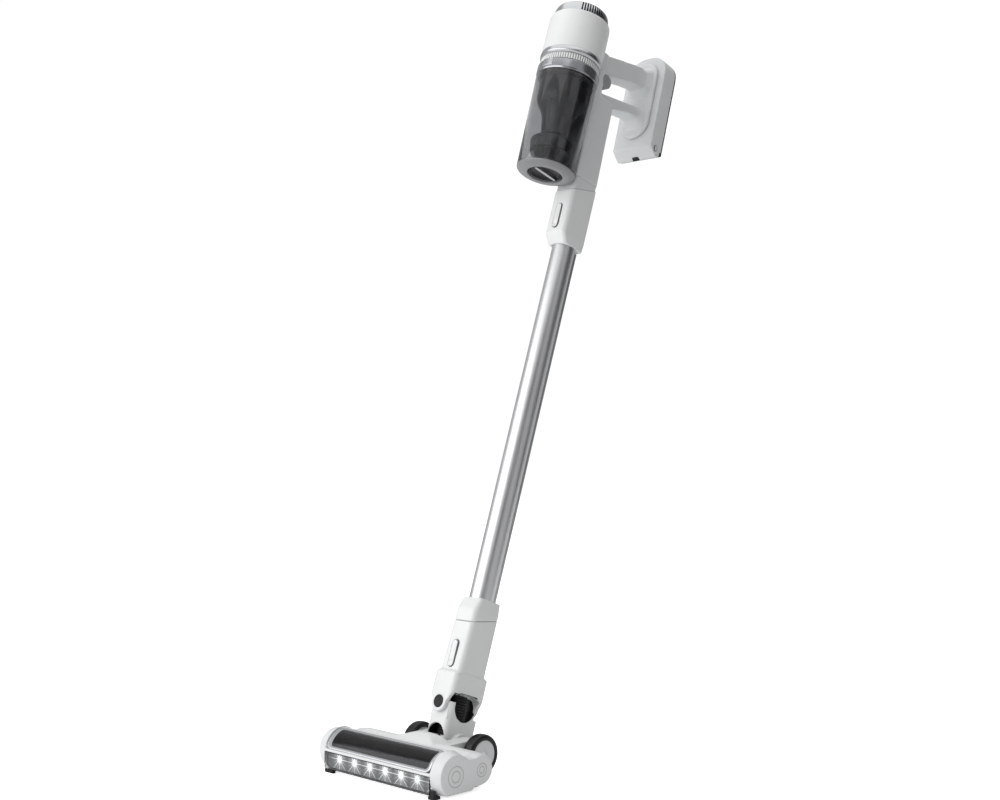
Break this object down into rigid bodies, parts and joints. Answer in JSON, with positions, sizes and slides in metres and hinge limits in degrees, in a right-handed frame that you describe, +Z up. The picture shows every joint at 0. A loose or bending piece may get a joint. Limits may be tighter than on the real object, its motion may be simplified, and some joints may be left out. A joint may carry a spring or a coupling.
{
  "type": "cordless stick vacuum",
  "caption": "Upright cordless stick vacuum: handheld motor unit with clear cyclone bin and rear battery, a straight metal wand, and a wide roller floor head with a lit front strip.",
  "frame": {"origin": "on the floor, under the middle of the whole vacuum as it leans back in use", "axes": "+Z up, -Y towards the front of the floor head, +X to the right as seen from in front of the floor head"},
  "size_m": [0.25, 0.6282, 1.1491],
  "materials": {
    "white_shell": "satin moulded white",
    "grey_shell": "satin moulded light grey",
    "silver_trim": "satin silver paint",
    "knurl": "satin, toothed",
    "tube_metal": "satin anodised",
    "smoked_clear": "clear, smoked, polished",
    "clear_strip": "clear, polished",
    "cyclone_grey": "satin grey",
    "black_plastic": "satin black",
    "tyre": "soft black rubber",
    "rubber": "matt rubber",
    "pile": "dense soft pile",
    "filter": "open foam",
    "steel": "ground",
    "motor_metal": "as cast",
    "wire_cover": "smooth",
    "cell_sleeve": "shrink sleeve over a metal can",
    "board": "white circuit board",
    "contact": "plated",
    "led": "lit"
  },
  "bodies": {
    "handheld": {"motor_housing": "white_shell", "flange_ring": "silver_trim", "knurled_ring": "knurl", "exhaust_cap": "silver_trim", "exhaust_filter": "filter", "suction_motor": "motor_metal", "motor_mount": "rubber", "handle_frame": "grey_shell", "trigger_pin": "steel", "inlet_port": "grey_shell"},
    "impeller": {"impeller": "black_plastic"},
    "trigger": {"trigger": "grey_shell"},
    "bin": {"bin_shell": "smoked_clear", "bin_floor": "grey_shell", "bin_collar": "silver_trim", "cyclone_cone": "cyclone_grey", "cyclone_skirt": "cyclone_grey", "prefilter": "filter"},
    "bin_knob": {"bin_knob": "black_plastic"},
    "bin_latch": {"bin_latch": "silver_trim"},
    "battery": {"battery_case": "grey_shell", "battery_back": "black_plastic", "battery_cells": "cell_sleeve", "battery_clip": "black_plastic", "battery_terminals": "contact"},
    "battery_button_left": {"battery_button_left": "grey_shell"},
    "battery_button_right": {"battery_button_right": "grey_shell"},
    "wand": {"wand_tube": "tube_metal", "wire_channel": "tube_metal", "wand_wires": "wire_cover", "wand_collar": "white_shell", "wand_connector": "white_shell"},
    "upper_button": {"upper_button": "white_shell"},
    "adapter": {"head_adapter": "white_shell", "swing_pins": "steel", "swing_pin_caps": "rubber"},
    "lower_button": {"lower_button": "white_shell"},
    "neck": {"lower_neck": "white_shell", "neck_hose": "rubber"},
    "head": {"head_cover": "white_shell", "window_frame": "silver_trim", "window_lens": "smoked_clear", "led_lens": "clear_strip", "led_board": "board", "leds": "led", "end_cap_left": "white_shell", "end_cap_right": "white_shell", "sole_plate": "black_plastic", "glides": "black_plastic", "brush_motor": "motor_metal", "drive_belt": "rubber", "pivot_axles": "steel"},
    "brush": {"brush_core": "black_plastic", "brush_pile": "pile"},
    "motor_pulley": {"motor_pulley": "black_plastic"},
    "wheel_left": {"tyre_left": "tyre", "hub_left": "grey_shell"},
    "wheel_right": {"tyre_right": "tyre", "hub_right": "grey_shell"}
  },
  "joints": [
    {"name": "impeller_spin", "type": "hinge", "parent": "handheld", "child": "impeller", "pos_m": [0, 0.08689, 1.0537], "axis": [0, 0.3156, 0.9489], "continuous": true},
    {"name": "trigger_pull", "type": "hinge", "parent": "handheld", "child": "trigger", "pos_m": [0, 0.15666, 1.05138], "axis": [1, 0, 0], "range_deg": [0, 5], "stiffness_Nm_per_rad": 0.6, "springref_deg": -5.73},
    {"name": "bin_release", "type": "slide", "parent": "handheld", "child": "bin", "axis": [0, -0.5284, -0.849], "range_m": [0, 0.08]},
    {"name": "bin_knob_turn", "type": "hinge", "parent": "bin", "child": "bin_knob", "pos_m": [0, 0.02692, 0.87341], "axis": [0, 0.3156, 0.9489], "range_deg": [0, 90]},
    {"name": "bin_latch_press", "type": "slide", "parent": "bin", "child": "bin_latch", "axis": [0, 0.9489, -0.3156], "range_m": [0, 0.002], "stiffness_N_per_m": 400, "springref_m": -0.002},
    {"name": "battery_release", "type": "slide", "parent": "handheld", "child": "battery", "axis": [0, 0.9568, -0.2907], "range_m": [0, 0.04]},
    {"name": "battery_button_left_press", "type": "slide", "parent": "battery", "child": "battery_button_left", "axis": [1, 0, 0], "range_m": [0, 0.002], "stiffness_N_per_m": 400, "springref_m": -0.002},
    {"name": "battery_button_right_press", "type": "slide", "parent": "battery", "child": "battery_button_right", "axis": [-1, 0, 0], "range_m": [0, 0.002], "stiffness_N_per_m": 400, "springref_m": -0.002},
    {"name": "wand_release", "type": "slide", "parent": "handheld", "child": "wand", "axis": [0, -0.3239, -0.9461], "range_m": [0, 0.06]},
    {"name": "upper_button_press", "type": "slide", "parent": "wand", "child": "upper_button", "axis": [0, 0.9461, -0.3239], "range_m": [0, 0.002], "stiffness_N_per_m": 400, "springref_m": -0.002},
    {"name": "head_release", "type": "slide", "parent": "wand", "child": "adapter", "axis": [0, -0.3239, -0.9461], "range_m": [0, 0.06]},
    {"name": "lower_button_press", "type": "slide", "parent": "adapter", "child": "lower_button", "axis": [0, 0.9461, -0.3239], "range_m": [0, 0.002], "stiffness_N_per_m": 400, "springref_m": -0.002},
    {"name": "neck_swing", "type": "hinge", "parent": "adapter", "child": "neck", "pos_m": [0, -0.16213, 0.08553], "axis": [0, 0.9461, -0.3239], "range_deg": [-40, 40]},
    {"name": "head_pitch", "type": "hinge", "parent": "neck", "child": "head", "pos_m": [0, -0.17524, 0.0285], "axis": [1, 0, 0], "range_deg": [-18, 56]},
    {"name": "brush_spin", "type": "hinge", "parent": "head", "child": "brush", "pos_m": [0, -0.28214, 0.0255], "axis": [1, 0, 0], "continuous": true},
    {"name": "motor_spin", "type": "hinge", "parent": "head", "child": "motor_pulley", "pos_m": [-0.08, -0.23464, 0.028], "axis": [1, 0, 0], "continuous": true},
    {"name": "wheel_left_roll", "type": "hinge", "parent": "head", "child": "wheel_left", "pos_m": [-0.062, -0.17524, 0.0285], "axis": [1, 0, 0], "continuous": true},
    {"name": "wheel_right_roll", "type": "hinge", "parent": "head", "child": "wheel_right", "pos_m": [0.062, -0.17524, 0.0285], "axis": [1, 0, 0], "continuous": true}
  ],
  "couplings": [
    {"joint": "motor_spin", "follows": "brush_spin", "ratio": 1.2857}
  ]
}
